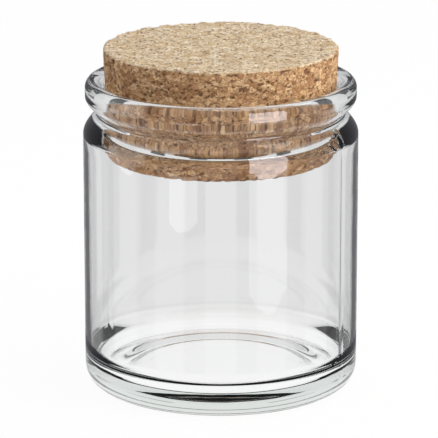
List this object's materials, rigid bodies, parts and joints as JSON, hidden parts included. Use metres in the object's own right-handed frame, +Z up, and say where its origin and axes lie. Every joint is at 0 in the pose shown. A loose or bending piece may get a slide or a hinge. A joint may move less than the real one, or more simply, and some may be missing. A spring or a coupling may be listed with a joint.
{
  "type": "storage jar with cork stopper",
  "caption": "Squat round clear glass storage jar with a beaded lip and a tapered cork stopper that lifts out of the mouth.",
  "frame": {"origin": "centre of the base, on the surface that the jar stands on", "axes": "+Z up along the jar's axis of symmetry; the pictured side faces -Y"},
  "size_m": [0.08, 0.08, 0.1006],
  "materials": {
    "jar_glass": "clear polished soda-lime glass",
    "cork": "matte bonded cork granules"
  },
  "bodies": {
    "jar": {"glass_jar": "jar_glass"},
    "stopper": {"cork_stopper": "cork"}
  },
  "joints": [
    {"name": "stopper_lift", "type": "slide", "parent": "jar", "child": "stopper", "axis": [0, 0, 1], "range_m": [0, 0.06]}
  ]
}
